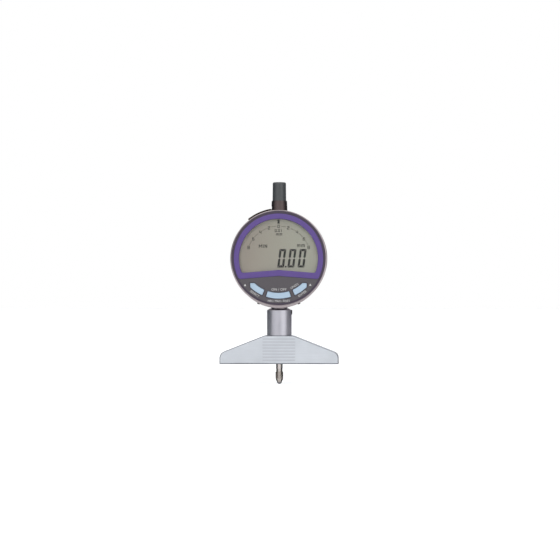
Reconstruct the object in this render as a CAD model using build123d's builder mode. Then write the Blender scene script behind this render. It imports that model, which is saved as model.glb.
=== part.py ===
from build123d import *
import os
from math import cos, radians, sin, sqrt, tan

os.makedirs("parts", exist_ok=True)

# A digital depth gauge: a round digital indicator with a spring-loaded spindle, held in the sleeve of a
# flat measuring base. Millimetres, +Z up along the spindle, the display faces -Y, and the origin is on
# the spindle's axis at the base's flat underside.

# Fits
seat_gap = 0.02
slip_gap = 0.1
running_gap = 0.03
joint_gap = 0.05
part_gap = 0.3

# Measuring base
base_width = 75.0
base_depth = 16.0
base_height = 18.0
base_top_width = 18.0
base_slope = 21.5
base_corner = 4.5
base_edge = 0.4
groove_count = 8
groove_length = 20.6
groove_pitch = 1.9
groove_width = 0.55
groove_depth = 0.3
groove_first = 2.5

# Sleeve that clamps the indicator's stem
sleeve_radius = 7.8
sleeve_length = 17.0
sleeve_taper_width = 1.7
sleeve_taper_height = 1.1
spigot_radius = 5.5
spigot_length = 7.0
clamp_screw_radius = 1.5
clamp_screw_drop = 2.4
clamp_screw_proud = 0.35
clamp_screw_edge = 0.25
socket_width = 1.5
socket_depth = 1.2

# Stem and bushings
stem_radius = 4.0
stem_lift = 1.5
stem_rise = 2.0
stem_flange_radius = 5.5
stem_flange = 1.0
bushing_radius = 3.0
lower_bushing_length = 8.0
upper_bushing_length = 8.3
stop_thickness = 0.7

# Spindle and contact point
spindle_radius = 2.1
spindle_reach = 3.1
contact_reach = 13.0
contact_neck_radius = 2.0
contact_neck = 1.9
contact_grip_radius = 2.45
contact_grip = 4.4
grip_cut_count = 20
grip_cut_width = 0.3
grip_cut_depth = 0.1
grip_cut_margin = 0.4
ball_radius = 1.5
stud_radius = 1.25
stud_length = 4.5
spindle_stroke = 13.3

# Case
body_radius = 28.0
body_wall = 2.4
chin_drop = 3.3
flange_proud = 2.5
flange_wall = 2.5
flange_step = 1.5
flange_edge = 0.8
boss_height = 0.25
stem_boss_radius = 5.2
body_back = 9.0
flange_back = -4.5
top_boss_radius = 5.3
top_boss_height = 0.8
top_spigot_radius = 4.15
top_spigot_height = 1.1
pad_root = 0.6
cover_boss_radius = 2.0
cover_boss_inset = 1.3
cover_boss_length = 6.0
stem_seat_depth = 0.2

# Depths of what lies between the spindle and the window
carrier_front = 3.2
scale_thickness = 1.0
scale_gap = 0.4
head_thickness = 1.0
header_height = 1.8
board_thickness = 1.2
holder_thickness = 1.0
lcd_thickness = 1.6
plate_thickness = 2.0

# Front cover, bezel and window
cover_inset = 0.8
cover_lift = 0.3
rim_height = 0.4
rim_width = 1.5
rim_edge = 0.35
skirt_wall = 1.5
skirt_length = 3.2
bezel_width = 2.85
bezel_lip = 0.5
band_width = 3.3
band_share = 0.278
bezel_proud = 0.8
bezel_seat = 0.8
bezel_edge = 0.45
window_thickness = 1.2
window_seat = 1.0
window_ledge = 0.4
window_corner = 1.6
chevron_slope = 0.08
sheet_thickness = 0.3
rim_screw_angle = 24.3
rim_screw_head_radius = 0.8
rim_screw_radius = 0.5
rim_screw_proud = 0.5

# Keys
key_margin = 2.85
key_width = 3.6
key_half_angle = 18.0
side_key_angle = 24.0
side_key_end = 89.0
side_key_inset = 7.6
side_key_rise = 9.7
key_corner = 0.35
key_gap = 0.2
key_frame = 0.45
key_lip = 0.7
key_lip_thickness = 0.8
key_play = 0.1
key_proud = 0.7
key_travel = 0.5
key_edge = 0.2
mat_thickness = 0.4
mat_margin = 0.4
dome_radius = 1.4
dome_gap = 0.05
dome_angle = 35.5
dome_taper = 12.0

# Display stack
display_gap = 0.4
display_margin = 1.7
board_post_margin = 1.0
board_post_drop = 2.3
board_post_radius = 1.6
board_post_blind = 0.5
board_screw_radius = 0.8
board_screw_head_radius = 1.3
board_screw_head = 0.9
peg_radius = 0.8
peg_head_radius = 1.2
peg_head = 0.5
peg_inset = 4.0
peg_side = 18.0
peg_rise = 3.0
strip_length = 30.0
strip_width = 1.8
strip_rise = 1.6
chip_width = 7.0
chip_height = 0.9
chip_places = [(-12.0, 6.0), (12.5, -4.0)]

# Measuring system on the spindle
carrier_lift = 0.3
carrier_height = 8.0
carrier_left = 6.0
carrier_right = 7.5
carrier_back = 2.9
carrier_slit = 0.6
carrier_screw_x = -4.3
small_screw_radius = 0.8
small_head_radius = 1.3
small_head = 0.6
scale_width = 8.0
scale_headroom = 1.6
scale_lift = 1.0
head_width = 18.0
head_height = 13.0
head_place = -0.6
header_width = 12.0
header_depth = 3.0
guide_pin_radius = 0.8
guide_pin_inset = 1.2
rail_place = 9.5
rail_thickness = 1.2
rail_half_width = 2.4
rail_screw_inset = 1.6
pad_width = 2.8
pad_height = 1.4
screw_blind = 0.4
spring_radius = 2.75
spring_wire = 0.2
spring_pitch = 5.0

# Back cover and battery
back_inset = 0.4
back_thickness = 1.5
back_edge = 0.5
back_screw_radius = 0.8
back_screw_head_radius = 1.6
back_screw_head = 0.75
back_screw_length = 5.0
battery_radius = 10.0
battery_thickness = 3.2
battery_edge = 0.5
well_margin = 1.0
well_gap = 0.4
well_wall = 1.2
well_floor = 0.8
lid_overlap = 0.6
lid_edge = 0.3
contact_strip = 0.4
contact_disc_radius = 5.0
contact_hole_radius = 2.5
contact_slit = 1.2
contact_tab_width = 5.0
contact_tab_length = 14.0
coin_slot_length = 12.0
coin_slot_width = 1.6
coin_slot_depth = 0.7

# Top collar, dust cap and lifting ring
collar_top_radius = 4.85
collar_base_radius = 5.2
collar_height = 7.7
collar_lip_radius = 3.5
collar_lip = 0.9
cap_radius = 4.35
cap_draft = 0.7
cap_wall = 0.6
cap_height = 11.8
cap_socket = 2.0
cap_roof = 0.7
cap_edge = 0.9
ring_radius = 3.2
ring_thickness = 1.0
ring_bore = 1.5

# Lifting lever
lever_clearance = 0.85
lever_thickness = 1.0
lever_tip = 0.6
lever_half_width = 3.5
lever_collar_gap = 0.15
lever_end = 128.4
lever_swing = 11.0
pivot_angle = 110.0
pivot_drop = 1.95
pivot_pin_radius = 0.6
pivot_pin_depth = 2.0
lug_radius = 1.1
lug_thickness = 0.8
ear_radius = 1.3
ear_gap = 0.4
ear_thickness = 1.5
fork_lift = 1.95
fork_thickness = 0.8
fork_radius = 3.15
fork_gap = 0.15
fork_end = 0.8
neck_half_width = 1.5

# Heights worked out from the sizes above
sleeve_top = base_height + sleeve_length
stem_bottom = base_height + stem_lift
boss_face = sleeve_top + joint_gap
case_centre = boss_face + boss_height + chin_drop + body_radius
bore_radius = body_radius - body_wall
cavity_floor = case_centre - bore_radius
stem_seat = cavity_floor - stem_seat_depth
stem_top = cavity_floor + stem_rise
carrier_bottom = stem_top + stop_thickness + carrier_lift
carrier_top = carrier_bottom + carrier_height
carrier_middle = carrier_bottom + carrier_height / 2
shoulder = case_centre + body_radius + top_boss_height
bushing_top = shoulder + top_spigot_height - stem_seat_depth
bushing_bottom = bushing_top - upper_bushing_length
collar_top = shoulder + collar_height
cap_top = collar_top + cap_height
spindle_top = cap_top - cap_roof - part_gap - spindle_stroke
ring_bottom = spindle_top - ring_thickness
fork_middle = shoulder + fork_lift
fork_top = fork_middle + fork_thickness / 2
contact_bottom = -contact_reach
scale_bottom = carrier_bottom + scale_lift
scale_top = case_centre + sqrt(bore_radius**2 - (scale_width / 2) ** 2) - scale_headroom - spindle_stroke

# Radii about the case's centre, each worked out from its neighbour
flange_radius = body_radius + flange_proud
cover_radius = flange_radius - cover_inset
rim_inner_radius = cover_radius - rim_width
bezel_radius = rim_inner_radius - joint_gap
window_radius = bezel_radius - bezel_width
window_apex = -band_share * body_radius
bezel_apex = window_apex - band_width
skirt_radius = flange_radius - flange_wall - slip_gap
display_radius = skirt_radius - skirt_wall - display_gap
board_radius = display_radius - slip_gap
display_bottom = window_apex - chevron_slope * window_radius - display_margin
strip_place = display_bottom + strip_rise
peg_places = [
    (0, display_radius - peg_inset),
    (peg_side, display_bottom + peg_rise),
    (-peg_side, display_bottom + peg_rise),
]
key_outer_radius = bezel_radius - key_margin
key_inner_radius = key_outer_radius - key_width
side_key_reach = key_outer_radius - side_key_inset
side_key_top = side_key_rise - key_outer_radius
mat_inner_radius = key_inner_radius - 2 * mat_margin
board_post_reach = mat_inner_radius - board_post_radius - board_post_margin
board_post_z = display_bottom - board_post_drop
board_post_x = sqrt(board_post_reach**2 - board_post_z**2)
cover_boss_place = bore_radius - cover_boss_inset
back_radius = body_radius - back_inset
well_radius = battery_radius + well_gap
battery_x = bore_radius - well_radius - well_wall - well_margin
lid_radius = well_radius + lid_overlap
rail_end = sqrt(bore_radius**2 - (rail_place + rail_thickness) ** 2) - part_gap
rail_screw_place = rail_end - rail_screw_inset
guide_pin_end = rail_place + rail_thickness - part_gap
pad_start = rail_screw_place - pad_height
pad_middle = rail_place + rail_thickness + pad_width / 2
lever_radius = flange_radius + lever_clearance
pivot_radius = lever_radius - pivot_drop

# Depths worked out from the sizes above, front negative
scale_front = -carrier_front - scale_thickness
head_back = scale_front - scale_gap
head_front = head_back - head_thickness
board_back = head_front - header_height
board_front = board_back - board_thickness
lcd_back = board_front - holder_thickness
plate_back = lcd_back - lcd_thickness
plate_front = plate_back - plate_thickness
rim_front = plate_front - rim_height
flange_front = plate_back + joint_gap
key_front = plate_front - key_proud
lip_front = plate_back + key_play
lip_back = lip_front + key_lip_thickness
dome_top = lip_back + key_travel + dome_gap
mat_front = board_front - mat_thickness
skirt_back = plate_back + skirt_length
screw_depth = (flange_front + skirt_back) / 2
flange_bore_back = flange_back - flange_step
battery_back = body_back - part_gap
battery_front = battery_back - battery_thickness
floor_back = battery_front - contact_strip
floor_front = floor_back - well_floor
back_face = body_back + back_thickness
pivot_x = pivot_radius * cos(radians(pivot_angle))
pivot_z = case_centre + pivot_radius * sin(radians(pivot_angle))
ear_front = lever_half_width + ear_gap


def front_plane(depth):
    """A plane that faces the front, centred on the case, at this depth along Y."""
    return Plane(origin=(0, depth, case_centre), x_dir=(1, 0, 0), z_dir=(0, -1, 0))


def radial_plane(angle, distance, depth):
    """A plane that faces outwards from the case's centre, at an angle counted from its bottom."""
    outwards = (sin(radians(angle)), 0, -cos(radians(angle)))
    place = (outwards[0] * distance, depth, case_centre + outwards[2] * distance)
    return Plane(origin=place, x_dir=(0, 1, 0), z_dir=outwards)


def annulus(inner, outer):
    """Adds a flat ring to the sketch in hand."""
    Circle(outer)
    Circle(inner, mode=Mode.SUBTRACT)


def display_area(radius, apex, corner):
    """The window's outline: a circle cut off below by a shallow chevron with its peak at apex."""
    reach = 2 * radius
    with BuildSketch(mode=Mode.PRIVATE) as area:
        Circle(radius)
        with BuildLine():
            Polyline(
                (0, apex),
                (reach, apex - chevron_slope * reach),
                (reach, -reach),
                (-reach, -reach),
                (-reach, apex - chevron_slope * reach),
                close=True,
            )
        make_face(mode=Mode.SUBTRACT)
        corners = area.vertices().sort_by(Axis.X)
        fillet([corners[0], corners[-1]], corner)
    return area.sketch


def key_area(side, grow):
    """A key's outline, grown by a margin: side is -1 for the left key, 0 for the middle, 1 for the right."""
    reach = 2 * key_outer_radius
    low = side_key_angle if side else -key_half_angle
    high = side_key_end if side else key_half_angle
    turn = side if side else 1
    with BuildSketch(mode=Mode.PRIVATE) as area:
        Circle(key_outer_radius)
        Circle(key_inner_radius, mode=Mode.SUBTRACT)
        with BuildLine():
            Polyline(
                (0, 0),
                (turn * reach * sin(radians(low)), -reach * cos(radians(low))),
                (turn * reach, -reach) if side else (0, -reach),
                (turn * reach * sin(radians(high)), -reach * cos(radians(high))),
                close=True,
            )
        make_face(mode=Mode.INTERSECT)
        if side:
            with Locations((turn * side_key_reach / 2, side_key_top - reach / 2)):
                Rectangle(side_key_reach, reach, mode=Mode.INTERSECT)
        fillet(area.vertices(), key_corner)
        if grow:
            offset(amount=grow, kind=Kind.ARC)
    return area.sketch


def save(piece, name):
    """Labels a finished piece with its name and writes it."""
    piece.part.label = name
    export_step(piece.part, f"parts/{name}.step")


# Measuring base: ground steel, 75 mm wide, with finger grooves on both faces
shoulder_height = base_height - (base_width - base_top_width) / 2 * tan(radians(base_slope))
contact_bore = contact_grip_radius + part_gap
with BuildPart() as depth_base:
    with BuildSketch(Plane.XZ) as base_profile:
        with BuildLine():
            Polyline(
                (-base_width / 2, 0),
                (base_width / 2, 0),
                (base_width / 2, shoulder_height),
                (base_top_width / 2, base_height),
                (-base_top_width / 2, base_height),
                (-base_width / 2, shoulder_height),
                close=True,
            )
        make_face()
        fillet(base_profile.vertices().group_by(Axis.Y)[1], base_corner)
    extrude(amount=base_depth / 2, both=True)
    chamfer(depth_base.faces().filter_by(Axis.Y).edges(), base_edge)
    for face_side in (-1, 1):
        with BuildSketch(Plane.XZ.offset(-face_side * base_depth / 2)):
            for groove in range(groove_count):
                with Locations((0, groove_first + groove * groove_pitch)):
                    Rectangle(groove_length, groove_width)
        extrude(amount=face_side * groove_depth, mode=Mode.SUBTRACT)
    with BuildSketch(Plane.XY):
        Circle(contact_bore)
    extrude(amount=base_height, mode=Mode.SUBTRACT)
    with BuildSketch(Plane.XY.offset(base_height - spigot_length)):
        Circle(spigot_radius + seat_gap)
    extrude(amount=spigot_length, mode=Mode.SUBTRACT)
save(depth_base, "depth_base")

# Sleeve: turned steel, pressed into the base, with the stem's bore and a cross hole for the clamp screw
clamp_screw_height = sleeve_top - clamp_screw_drop
with BuildPart() as base_sleeve:
    with BuildSketch(Plane.XZ):
        with BuildLine():
            Polyline(
                (contact_bore, base_height - spigot_length),
                (spigot_radius, base_height - spigot_length),
                (spigot_radius, base_height),
                (sleeve_radius, base_height),
                (sleeve_radius, sleeve_top - sleeve_taper_height),
                (sleeve_radius - sleeve_taper_width, sleeve_top),
                (stem_radius + seat_gap, sleeve_top),
                (stem_radius + seat_gap, stem_bottom),
                (contact_bore, stem_bottom),
                close=True,
            )
        make_face()
    revolve(axis=Axis.Z)
    with BuildSketch(Plane.YZ):
        with Locations((0, clamp_screw_height)):
            Circle(clamp_screw_radius + seat_gap)
    extrude(amount=sleeve_radius + clamp_screw_proud, mode=Mode.SUBTRACT)
save(base_sleeve, "base_sleeve")

# Clamp screw: a socket set screw whose end bears on the stem
with BuildPart() as clamp_screw:
    with BuildSketch(Plane.YZ.offset(stem_radius)):
        with Locations((0, clamp_screw_height)):
            Circle(clamp_screw_radius)
    extrude(amount=sleeve_radius + clamp_screw_proud - stem_radius)
    chamfer(clamp_screw.faces().sort_by(Axis.X)[-1].edges(), clamp_screw_edge)
    with BuildSketch(Plane.YZ.offset(sleeve_radius + clamp_screw_proud)):
        with Locations((0, clamp_screw_height)):
            RegularPolygon(socket_width / 2, 6, major_radius=False)
    extrude(amount=-socket_depth, mode=Mode.SUBTRACT)
save(clamp_screw, "clamp_screw")

# Stem: the indicator's ground 8 mm tube, with a flange inside the case
with BuildPart() as stem:
    with BuildSketch(Plane.XZ):
        with BuildLine():
            Polyline(
                (bushing_radius + seat_gap, stem_bottom),
                (stem_radius, stem_bottom),
                (stem_radius, stem_seat),
                (stem_flange_radius, stem_seat),
                (stem_flange_radius, stem_seat + stem_flange),
                (stem_radius, stem_seat + stem_flange),
                (stem_radius, stem_top),
                (bushing_radius + seat_gap, stem_top),
                close=True,
            )
        make_face()
    revolve(axis=Axis.Z)
save(stem, "stem")

# Lower bushing: sintered bronze, pressed into the stem's end
with BuildPart() as lower_bushing:
    with BuildSketch(Plane.XY.offset(stem_bottom)):
        annulus(spindle_radius + running_gap, bushing_radius)
    extrude(amount=lower_bushing_length)
save(lower_bushing, "lower_bushing")

# Upper bushing: pressed into the top of the case
with BuildPart() as upper_bushing:
    with BuildSketch(Plane.XY.offset(bushing_bottom)):
        annulus(spindle_radius + running_gap, bushing_radius)
    extrude(amount=upper_bushing_length)
save(upper_bushing, "upper_bushing")

# Stop washer: rubber, where the carrier comes to rest
with BuildPart() as stop_washer:
    with BuildSketch(Plane.XY.offset(stem_top)):
        annulus(spindle_radius + part_gap, stem_radius)
    extrude(amount=stop_thickness)
save(stop_washer, "stop_washer")

# Spindle: ground rod with a tapped lower end and a stepped top for the lifting ring
with BuildPart() as spindle:
    with BuildSketch(Plane.XY.offset(-spindle_reach)):
        Circle(spindle_radius)
    extrude(amount=ring_bottom + spindle_reach)
    with BuildSketch(Plane.XY.offset(ring_bottom)):
        Circle(ring_bore)
    extrude(amount=ring_thickness)
    with BuildSketch(Plane.XY.offset(-spindle_reach)):
        Circle(stud_radius + seat_gap)
    extrude(amount=stud_length + part_gap, mode=Mode.SUBTRACT)
save(spindle, "spindle")

# Lifting ring: the collar at the spindle's top that the lever's fork lifts
with BuildPart() as lifting_ring:
    with BuildSketch(Plane.XY.offset(ring_bottom)):
        annulus(ring_bore + seat_gap, ring_radius)
    extrude(amount=ring_thickness)
save(lifting_ring, "lifting_ring")

# Contact point: turned steel with a grip band, a screw stud and a socket for the ball
grip_top = -spindle_reach - contact_neck
grip_bottom = grip_top - contact_grip
ball_centre = contact_bottom + ball_radius
with BuildPart() as contact_point:
    with BuildSketch(Plane.XZ):
        with BuildLine():
            Polyline(
                (0, ball_centre),
                (ball_radius, ball_centre),
                (contact_grip_radius, grip_bottom),
                (contact_grip_radius, grip_top),
                (contact_neck_radius, grip_top),
                (contact_neck_radius, -spindle_reach),
                (stud_radius, -spindle_reach),
                (stud_radius, -spindle_reach + stud_length),
                (0, -spindle_reach + stud_length),
                close=True,
            )
        make_face()
    revolve(axis=Axis.Z)
    with Locations((0, 0, ball_centre)):
        Sphere(ball_radius, mode=Mode.SUBTRACT)
    with BuildSketch(Plane.XY.offset(grip_bottom + grip_cut_margin)):
        with PolarLocations(contact_grip_radius, grip_cut_count):
            Rectangle(2 * grip_cut_depth, grip_cut_width)
    extrude(amount=contact_grip - 2 * grip_cut_margin, mode=Mode.SUBTRACT)
save(contact_point, "contact_point")

# Contact ball: polished carbide
with BuildPart() as contact_ball:
    with Locations((0, 0, ball_centre)):
        Sphere(ball_radius - seat_gap / 2)
save(contact_ball, "contact_ball")

# Case: one die casting, with the front flange, the rear shell, the chin that holds the stem, the boss
# under the collar, the lever's ear, the back cover's bosses and the pads that carry the guide rail
with BuildPart() as case_body:
    with BuildSketch(front_plane(body_back)):
        Circle(body_radius)
        with Locations((0, -chin_drop)):
            Circle(body_radius)
    extrude(amount=body_back - flange_front)
    fillet(case_body.faces().sort_by(Axis.Y)[-1].edges(), flange_edge)
    with BuildSketch(front_plane(flange_back)):
        Circle(flange_radius)
    extrude(amount=flange_back - flange_front)
    fillet(case_body.faces().sort_by(Axis.Y)[0].edges(), flange_edge)
    with BuildSketch(Plane.XY.offset(boss_face)):
        Circle(stem_boss_radius)
    extrude(amount=cavity_floor - boss_face)
    with BuildSketch(Plane.XY.offset(case_centre + bore_radius)):
        Circle(top_boss_radius)
    extrude(amount=shoulder - case_centre - bore_radius)
    with BuildSketch(Plane.XY.offset(shoulder)):
        Circle(top_boss_radius)
    extrude(amount=body_wall + flange_radius, mode=Mode.SUBTRACT)
    with BuildSketch(Plane.XY.offset(shoulder)):
        Circle(top_spigot_radius)
    extrude(amount=top_spigot_height)
    with BuildSketch(front_plane(body_back)):
        Circle(bore_radius)
    extrude(amount=body_back - flange_front, mode=Mode.SUBTRACT)
    with BuildSketch(front_plane(flange_bore_back)):
        Circle(flange_radius - flange_wall)
    extrude(amount=flange_bore_back - flange_front, mode=Mode.SUBTRACT)
    with BuildSketch(front_plane(body_back)):
        with PolarLocations(cover_boss_place, 4, start_angle=45):
            Circle(cover_boss_radius)
    extrude(amount=cover_boss_length)
    with BuildSketch(front_plane(body_back)):
        with PolarLocations(cover_boss_place, 4, start_angle=45):
            Circle(back_screw_radius + seat_gap)
    extrude(amount=back_screw_length, mode=Mode.SUBTRACT)
    with BuildSketch(front_plane(0)):
        for end in (-1, 1):
            with Locations((pad_middle, end * (pad_start + body_radius) / 2)):
                Rectangle(pad_width, body_radius - pad_start)
        Circle(body_radius - pad_root, mode=Mode.INTERSECT)
    extrude(amount=rail_half_width, both=True)
    with BuildSketch(Plane.YZ.offset(rail_place)):
        for end in (-1, 1):
            with Locations((0, case_centre + end * rail_screw_place)):
                Circle(small_screw_radius + seat_gap)
    extrude(amount=rail_thickness + pad_width - screw_blind / 2, mode=Mode.SUBTRACT)
    with BuildSketch(front_plane(ear_front + ear_thickness)):
        with PolarLocations((pivot_radius + body_radius - ear_radius) / 2, 1, start_angle=pivot_angle):
            SlotCenterToCenter(pivot_radius - body_radius + ear_radius, 2 * ear_radius)
    extrude(amount=ear_thickness)
    with BuildSketch(front_plane(ear_front + ear_thickness)):
        with PolarLocations(pivot_radius, 1, start_angle=pivot_angle):
            Circle(pivot_pin_radius + seat_gap)
    extrude(amount=ear_front + ear_thickness - flange_back + pivot_pin_depth, mode=Mode.SUBTRACT)
    with BuildSketch(Plane.XY.offset(boss_face)):
        Circle(stem_radius + seat_gap)
    extrude(amount=bore_radius, mode=Mode.SUBTRACT)
    with BuildSketch(Plane.XY.offset(stem_seat)):
        Circle(stem_flange_radius + seat_gap)
    extrude(amount=bore_radius, mode=Mode.SUBTRACT)
    with BuildSketch(Plane.XY.offset(case_centre)):
        Circle(bushing_radius + seat_gap)
    extrude(amount=body_radius * 2, mode=Mode.SUBTRACT)
    for side in (-1, 1):
        with BuildSketch(radial_plane(side * rim_screw_angle, bore_radius, screw_depth)):
            Circle(rim_screw_radius + seat_gap)
        extrude(amount=body_radius, mode=Mode.SUBTRACT)
save(case_body, "case_body")

# Back cover: a plate with the battery's well moulded into it
with BuildPart() as back_cover:
    with BuildSketch(front_plane(back_face)):
        Circle(back_radius)
    extrude(amount=back_thickness)
    chamfer(back_cover.faces().sort_by(Axis.Y)[-1].edges(), back_edge)
    with BuildSketch(front_plane(body_back)):
        with Locations((battery_x, 0)):
            Circle(well_radius + well_wall)
    extrude(amount=body_back - floor_front)
    with BuildSketch(front_plane(body_back)):
        with Locations((battery_x, 0)):
            Circle(well_radius)
    extrude(amount=body_back - floor_back, mode=Mode.SUBTRACT)
    with BuildSketch(front_plane(back_face)):
        with Locations((battery_x, 0)):
            Circle(lid_radius + key_gap)
    extrude(amount=back_thickness, mode=Mode.SUBTRACT)
    with BuildSketch(front_plane(back_face)):
        with PolarLocations(cover_boss_place, 4, start_angle=45):
            Circle(back_screw_head_radius + seat_gap)
    extrude(amount=back_screw_head, mode=Mode.SUBTRACT)
    with BuildSketch(front_plane(back_face)):
        with PolarLocations(cover_boss_place, 4, start_angle=45):
            Circle(back_screw_radius + seat_gap)
    extrude(amount=back_thickness, mode=Mode.SUBTRACT)
save(back_cover, "back_cover")

# Back cover screws: four flush heads, one in each corner boss
with BuildPart() as back_cover_screws:
    with BuildSketch(front_plane(back_face)):
        with PolarLocations(cover_boss_place, 4, start_angle=45):
            Circle(back_screw_head_radius)
    extrude(amount=back_screw_head)
    with BuildSketch(front_plane(back_face)):
        with PolarLocations(cover_boss_place, 4, start_angle=45):
            Circle(back_screw_radius)
    extrude(amount=back_screw_length)
save(back_cover_screws, "back_cover_screws")

# Battery: a coin cell
with BuildPart() as battery:
    with BuildSketch(front_plane(battery_back)):
        with Locations((battery_x, 0)):
            Circle(battery_radius)
    extrude(amount=battery_thickness)
    fillet(battery.faces().sort_by(Axis.Y)[0].edges(), battery_edge)
save(battery, "battery")

# Battery contact: a bent spring strip on the well's floor
with BuildPart() as battery_contact:
    with BuildSketch(front_plane(floor_back)):
        with Locations((battery_x, 0)):
            Circle(contact_disc_radius)
            Circle(contact_hole_radius, mode=Mode.SUBTRACT)
            Rectangle(2 * contact_disc_radius, contact_slit, mode=Mode.SUBTRACT)
            Rectangle(contact_tab_width, contact_tab_length)
    extrude(amount=-contact_strip)
save(battery_contact, "battery_contact")

# Battery lid: round, with a coin slot
with BuildPart() as battery_lid:
    with BuildSketch(front_plane(back_face)):
        with Locations((battery_x, 0)):
            Circle(lid_radius)
    extrude(amount=back_thickness)
    chamfer(battery_lid.faces().sort_by(Axis.Y)[-1].edges(), lid_edge)
    with BuildSketch(front_plane(back_face)):
        with Locations((battery_x, 0)):
            SlotOverall(coin_slot_length, coin_slot_width)
    extrude(amount=coin_slot_depth, mode=Mode.SUBTRACT)
save(battery_lid, "battery_lid")

# Front cover: a dark moulding with a raised rim, the seats of the bezel and the window, the key
# openings, a skirt that enters the flange and two posts for the circuit board
with BuildPart() as front_cover:
    with BuildSketch(front_plane(plate_back)):
        with Locations((0, cover_lift)):
            Circle(cover_radius)
    extrude(amount=plate_back - rim_front)
    fillet(front_cover.faces().sort_by(Axis.Y)[0].edges(), rim_edge)
    with BuildSketch(front_plane(plate_front)):
        Circle(rim_inner_radius)
    extrude(amount=rim_height, mode=Mode.SUBTRACT)
    with BuildSketch(front_plane(plate_front + bezel_seat)):
        add(display_area(bezel_radius + seat_gap, bezel_apex - seat_gap, window_corner))
    extrude(amount=bezel_seat, mode=Mode.SUBTRACT)
    with BuildSketch(front_plane(plate_front + window_seat)):
        add(display_area(window_radius, window_apex, window_corner))
    extrude(amount=window_seat, mode=Mode.SUBTRACT)
    with BuildSketch(front_plane(plate_back)):
        add(display_area(window_radius - window_ledge, window_apex + window_ledge, window_corner))
    extrude(amount=plate_thickness, mode=Mode.SUBTRACT)
    with BuildSketch(front_plane(plate_back)):
        for side in (-1, 0, 1):
            add(key_area(side, key_gap))
    extrude(amount=plate_thickness, mode=Mode.SUBTRACT)
    with BuildSketch(front_plane(skirt_back)):
        Circle(skirt_radius)
        Circle(skirt_radius - skirt_wall, mode=Mode.SUBTRACT)
    extrude(amount=skirt_length)
    with BuildSketch(front_plane(board_front)):
        for side in (-1, 1):
            with Locations((side * board_post_x, board_post_z)):
                Circle(board_post_radius)
    extrude(amount=board_front - plate_back)
    with BuildSketch(front_plane(board_front)):
        for side in (-1, 1):
            with Locations((side * board_post_x, board_post_z)):
                Circle(board_screw_radius + seat_gap)
    extrude(amount=board_front - plate_back, mode=Mode.SUBTRACT)
    for side in (-1, 1):
        with BuildSketch(radial_plane(side * rim_screw_angle, skirt_radius - 2 * skirt_wall, screw_depth)):
            Circle(rim_screw_radius + seat_gap)
        extrude(amount=3 * skirt_wall, mode=Mode.SUBTRACT)
save(front_cover, "front_cover")

# Rim screws: two small radial screws in the chin hold the front cover in the flange
rim_surface = chin_drop * cos(radians(rim_screw_angle)) + sqrt(
    body_radius**2 - (chin_drop * sin(radians(rim_screw_angle))) ** 2
)
with BuildPart() as rim_screws:
    for side in (-1, 1):
        with BuildSketch(radial_plane(side * rim_screw_angle, skirt_radius - skirt_wall, screw_depth)):
            Circle(rim_screw_radius)
        extrude(amount=rim_surface - skirt_radius + skirt_wall)
        with BuildSketch(radial_plane(side * rim_screw_angle, rim_surface + joint_gap, screw_depth)):
            Circle(rim_screw_head_radius)
        extrude(amount=rim_screw_proud)
        with BuildSketch(radial_plane(side * rim_screw_angle, rim_surface, screw_depth)):
            Circle(rim_screw_radius)
        extrude(amount=rim_screw_proud)
save(rim_screws, "rim_screws")

# Display bezel: the coloured moulding round the window, with the shallow chevron band below it and a lip
# that covers the window's edge
window_front = plate_front + window_seat - window_thickness
with BuildPart() as display_bezel:
    with BuildSketch(front_plane(plate_front + bezel_seat)):
        add(display_area(bezel_radius, bezel_apex, window_corner))
        cut = display_area(window_radius - bezel_lip, window_apex + bezel_lip, window_corner)
        add(cut, mode=Mode.SUBTRACT)
    extrude(amount=bezel_seat + bezel_proud)
    fillet(display_bezel.faces().sort_by(Axis.Y)[0].edges(), bezel_edge)
    with BuildSketch(front_plane(plate_front + bezel_seat)):
        add(display_area(window_radius + seat_gap, window_apex - seat_gap, window_corner))
    extrude(amount=plate_front + bezel_seat - window_front + seat_gap, mode=Mode.SUBTRACT)
save(display_bezel, "display_bezel")

# Window: clear acrylic on the front cover's ledge
with BuildPart() as display_window:
    with BuildSketch(front_plane(plate_front + window_seat)):
        add(display_area(window_radius - seat_gap, window_apex + seat_gap, window_corner))
    extrude(amount=window_thickness)
save(display_window, "display_window")

# Fascia sheet: a thin printed sheet below the bezel, cut out round the keys
with BuildPart() as fascia_sheet:
    with BuildSketch(front_plane(plate_front)):
        Circle(bezel_radius)
        cut = display_area(bezel_radius + joint_gap, bezel_apex - 2 * seat_gap, window_corner)
        add(cut, mode=Mode.SUBTRACT)
        for side in (-1, 0, 1):
            add(key_area(side, key_frame), mode=Mode.SUBTRACT)
    extrude(amount=sheet_thickness)
save(fascia_sheet, "fascia_sheet")

# Keys: three moulded buttons, each with a lip behind the cover that keeps it in
key_names = {-1: "button_left", 0: "button_center", 1: "button_right"}
for side, key_name in key_names.items():
    with BuildPart() as button:
        with BuildSketch(front_plane(lip_front)):
            add(key_area(side, 0))
        extrude(amount=lip_front - key_front)
        fillet(button.faces().sort_by(Axis.Y)[0].edges(), key_edge)
        with BuildSketch(front_plane(lip_back)):
            add(key_area(side, key_lip))
        extrude(amount=key_lip_thickness)
    save(button, key_name)

# Key mat: a rubber sheet on the board with a dome behind each key
with BuildPart() as key_mat:
    with BuildSketch(front_plane(board_front)):
        Circle(key_outer_radius + mat_margin)
        Circle(mat_inner_radius, mode=Mode.SUBTRACT)
        with Locations((0, display_bottom - mat_margin - key_outer_radius)):
            Rectangle(3 * key_outer_radius, 2 * key_outer_radius, mode=Mode.INTERSECT)
    extrude(amount=mat_thickness)
    with BuildSketch(front_plane(mat_front)):
        with PolarLocations((key_inner_radius + key_outer_radius) / 2, 3, -90 - dome_angle, 2 * dome_angle):
            Circle(dome_radius)
    extrude(amount=mat_front - dome_top, taper=dome_taper)
save(key_mat, "key_mat")

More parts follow.
